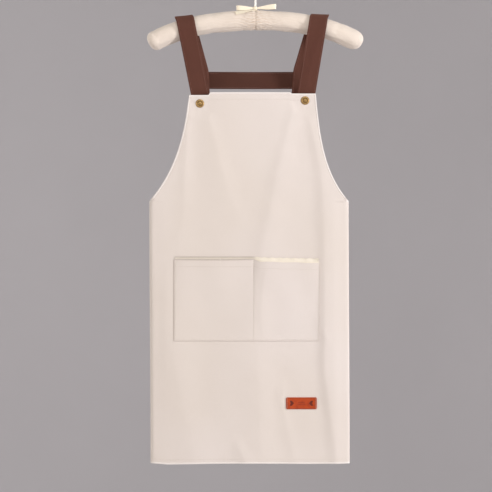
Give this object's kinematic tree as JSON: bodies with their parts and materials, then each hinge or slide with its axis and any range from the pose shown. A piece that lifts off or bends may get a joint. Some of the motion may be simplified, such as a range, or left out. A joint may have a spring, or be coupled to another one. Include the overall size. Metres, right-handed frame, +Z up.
{
  "type": "apron on a padded clothes hanger",
  "caption": "Canvas apron with a bib, shoulder straps, a cross strap at the back, a two-part pocket and a leather label, hung on a padded hanger with a swivelling hook.",
  "frame": {"origin": "inside top of the hook, where the rail or wall hook that holds the hanger bears", "axes": "+Z up, +X to the right seen from the front, -Y out of the apron's front towards the viewer"},
  "size_m": [0.4304, 0.0553, 0.9805],
  "materials": {
    "steel": "satin",
    "white_sleeve": "satin",
    "core_wood": "satin",
    "foam": "matte",
    "cover_cotton": "matte",
    "ribbon_satin": "satin",
    "strap_twill": "matte",
    "apron_canvas": "matte",
    "antique_brass": "satin",
    "label_leather": "satin"
  },
  "bodies": {
    "hook": {"hook_wire": "steel", "hook_sleeve": "white_sleeve", "hook_washer": "steel", "hook_nut": "steel"},
    "hanger": {"hanger_core": "core_wood", "foam_left": "foam", "foam_right": "foam", "cover_left": "cover_cotton", "cover_right": "cover_cotton", "ribbon_bow": "ribbon_satin"},
    "apron": {"front_panel": "apron_canvas", "bib_facing": "apron_canvas", "pocket": "apron_canvas", "leather_label": "label_leather", "strap_left": "strap_twill", "strap_right": "strap_twill", "cross_strap": "strap_twill", "snap_cap_left": "antique_brass", "snap_socket_left": "antique_brass", "snap_cap_right": "antique_brass", "snap_socket_right": "antique_brass"},
    "strap_tip_left": {"strap_end_left": "strap_twill", "snap_stud_left": "antique_brass", "snap_post_left": "antique_brass"},
    "strap_tip_right": {"strap_end_right": "strap_twill", "snap_stud_right": "antique_brass", "snap_post_right": "antique_brass"},
    "side_wing_left": {"wing_left": "apron_canvas"},
    "side_wing_right": {"wing_right": "apron_canvas"}
  },
  "joints": [
    {"name": "hook_swivel", "type": "hinge", "parent": "hook", "child": "hanger", "pos_m": [0, 0, -0.09], "axis": [0, 0, 1], "continuous": true},
    {"name": "apron_swing", "type": "hinge", "parent": "hanger", "child": "apron", "pos_m": [0, 0, -0.1045], "axis": [1, 0, 0], "range_deg": [-10, 10]},
    {"name": "snap_release_left", "type": "slide", "parent": "apron", "child": "strap_tip_left", "axis": [0, 1, 0], "range_m": [0, 0.008]},
    {"name": "snap_release_right", "type": "slide", "parent": "apron", "child": "strap_tip_right", "axis": [0, 1, 0], "range_m": [0, 0.008]},
    {"name": "wing_fold_left", "type": "hinge", "parent": "apron", "child": "side_wing_left", "pos_m": [-0.2051, 0.0106, -0.72], "axis": [0, 0, 1], "range_deg": [0, 30]},
    {"name": "wing_fold_right", "type": "hinge", "parent": "apron", "child": "side_wing_right", "pos_m": [0.1811, 0.0106, -0.72], "axis": [0, 0, -1], "range_deg": [0, 30]}
  ]
}
